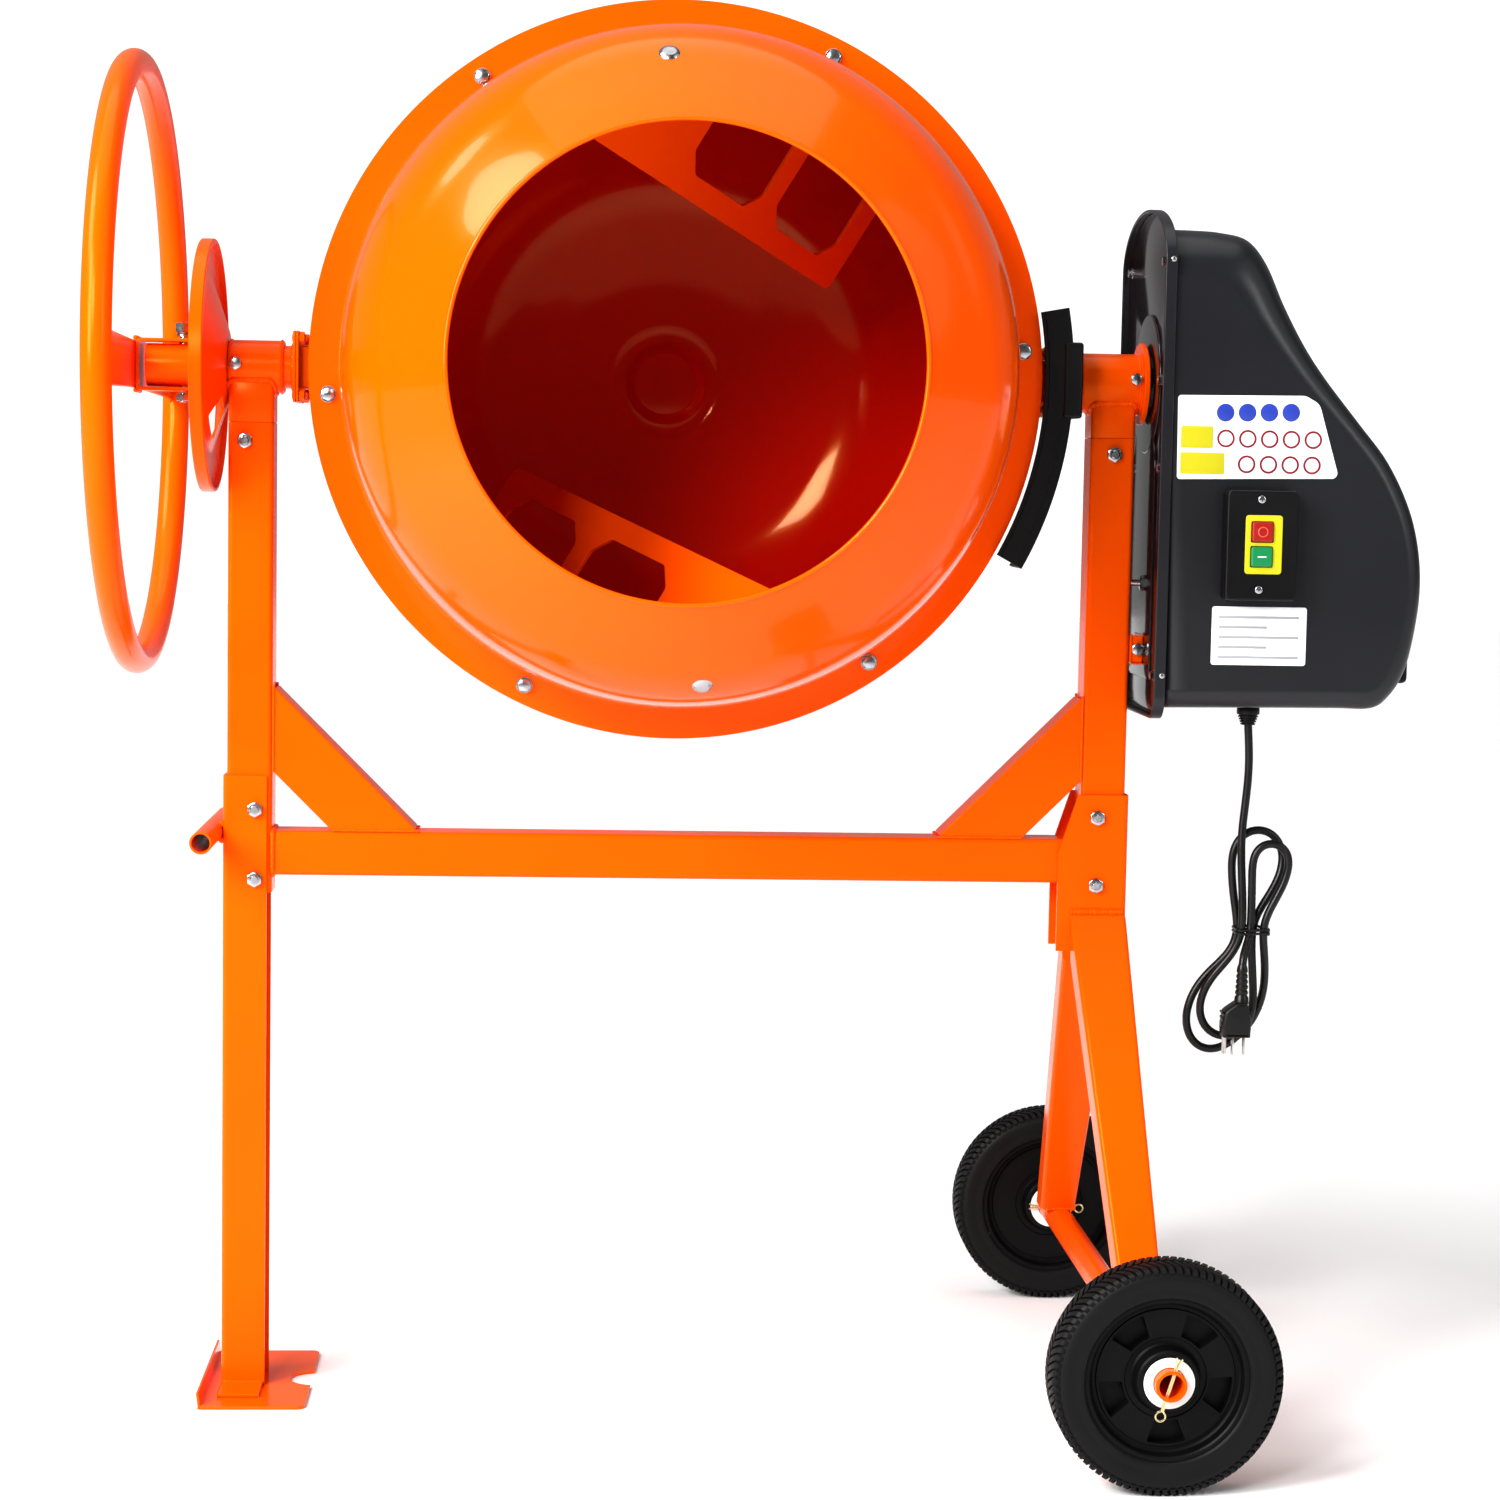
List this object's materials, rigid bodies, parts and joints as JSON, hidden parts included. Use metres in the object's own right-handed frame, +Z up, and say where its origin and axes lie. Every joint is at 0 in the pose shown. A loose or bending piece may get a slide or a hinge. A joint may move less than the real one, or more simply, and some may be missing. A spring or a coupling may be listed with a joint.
{
  "type": "concrete mixer",
  "caption": "Electric concrete mixer: bolted tilting drum with mixing blades in a yoke, handwheel, belt-drive housing, stand with a foot plate and two transport wheels.",
  "frame": {"origin": "centre of the base's bounding box on the floor, without the supply cord", "axes": "+Z up; -Y is the side the drum's mouth faces at rest; +X runs along the trunnions from the handwheel to the drive housing"},
  "size_m": [1.196, 0.704, 1.2681],
  "materials": {
    "orange_paint": "gloss",
    "bearing_iron": "satin",
    "black_plastic": "satin",
    "dark_plastic": "satin",
    "gloss_black": "polished",
    "zinc_steel": "satin",
    "white_nylon": "satin",
    "tyre_rubber": "matte",
    "belt_rubber": "matte",
    "cord_rubber": "satin",
    "red_button": "gloss",
    "green_button": "gloss",
    "motor_paint": "satin"
  },
  "bodies": {
    "frame": {"left_post": "orange_paint", "right_post": "orange_paint", "left_bearing_head": "orange_paint", "right_bearing_head": "orange_paint", "crossbeam": "orange_paint", "left_brace": "orange_paint", "right_brace": "orange_paint", "left_leg": "orange_paint", "foot_plate": "orange_paint", "tow_handle": "orange_paint", "leg_bracket": "orange_paint", "front_leg": "orange_paint", "rear_leg": "orange_paint", "axle_tube": "orange_paint", "front_outer_washer": "white_nylon", "front_inner_washer": "white_nylon", "rear_inner_washer": "white_nylon", "rear_outer_washer": "white_nylon", "front_outer_pin": "zinc_steel", "front_inner_pin": "zinc_steel", "rear_inner_pin": "zinc_steel", "rear_outer_pin": "zinc_steel", "lock_disc": "orange_paint", "housing_back_plate": "gloss_black", "housing_cover": "dark_plastic", "motor": "motor_paint", "motor_bracket": "orange_paint", "capacitor_box": "black_plastic", "switch_box": "black_plastic", "cable_gland": "black_plastic", "cord_drop": "cord_rubber", "cord_hank": "cord_rubber", "cord_tie": "cord_rubber", "plug": "cord_rubber", "drive_belt": "belt_rubber"},
    "yoke": {"left_trunnion": "orange_paint", "right_trunnion": "orange_paint", "yoke_arm": "orange_paint", "drum_spindle": "zinc_steel", "gear_guard": "black_plastic", "pivot_bolt": "zinc_steel"},
    "drum": {"drum_bowl": "orange_paint", "drum_cone": "orange_paint", "ring_gear": "bearing_iron", "drum_hub": "bearing_iron", "paddle_a": "orange_paint", "paddle_b": "orange_paint"},
    "drive_line": {"drive_shaft": "zinc_steel", "bevel_pinion": "bearing_iron", "large_pulley": "bearing_iron"},
    "motor_rotor": {"motor_pulley": "bearing_iron"},
    "handwheel": {"handwheel_rim": "orange_paint", "handwheel_fork": "orange_paint"},
    "front_wheel": {"front_wheel_tyre": "tyre_rubber", "front_wheel_hub": "black_plastic"},
    "rear_wheel": {"rear_wheel_tyre": "tyre_rubber", "rear_wheel_hub": "black_plastic"},
    "stop_push_button": {"stop_button": "red_button"},
    "start_push_button": {"start_button": "green_button"}
  },
  "joints": [
    {"name": "drum_tilt", "type": "hinge", "parent": "frame", "child": "yoke", "pos_m": [-0.1, 0, 0.94], "axis": [1, 0, 0], "range_deg": [-90, 60]},
    {"name": "drum_spin", "type": "hinge", "parent": "yoke", "child": "drum", "pos_m": [-0.1, 0, 0.94], "axis": [0, 1, 0], "continuous": true},
    {"name": "drive_shaft_spin", "type": "hinge", "parent": "yoke", "child": "drive_line", "pos_m": [-0.1, 0, 0.94], "axis": [1, 0, 0], "continuous": true},
    {"name": "motor_spin", "type": "hinge", "parent": "frame", "child": "motor_rotor", "pos_m": [0.38, 0, 0.745], "axis": [1, 0, 0], "continuous": true},
    {"name": "handwheel_rock", "type": "hinge", "parent": "yoke", "child": "handwheel", "pos_m": [-0.545, 0, 0.94], "axis": [0, 0, 1], "range_deg": [-4, 4]},
    {"name": "front_wheel_spin", "type": "hinge", "parent": "frame", "child": "front_wheel", "pos_m": [0.315, -0.3177, 0.0989], "axis": [0, 1, 0], "continuous": true},
    {"name": "rear_wheel_spin", "type": "hinge", "parent": "frame", "child": "rear_wheel", "pos_m": [0.315, 0.3177, 0.0989], "axis": [0, 1, 0], "continuous": true},
    {"name": "stop_button_press", "type": "slide", "parent": "frame", "child": "stop_push_button", "axis": [0, 1, 0], "range_m": [0, 0.003], "stiffness_N_per_m": 300},
    {"name": "start_button_press", "type": "slide", "parent": "frame", "child": "start_push_button", "axis": [0, 1, 0], "range_m": [0, 0.003], "stiffness_N_per_m": 300}
  ],
  "couplings": [
    {"joint": "drive_shaft_spin", "follows": "drum_spin", "ratio": 8.6667},
    {"joint": "motor_spin", "follows": "drum_spin", "ratio": 41.558}
  ]
}
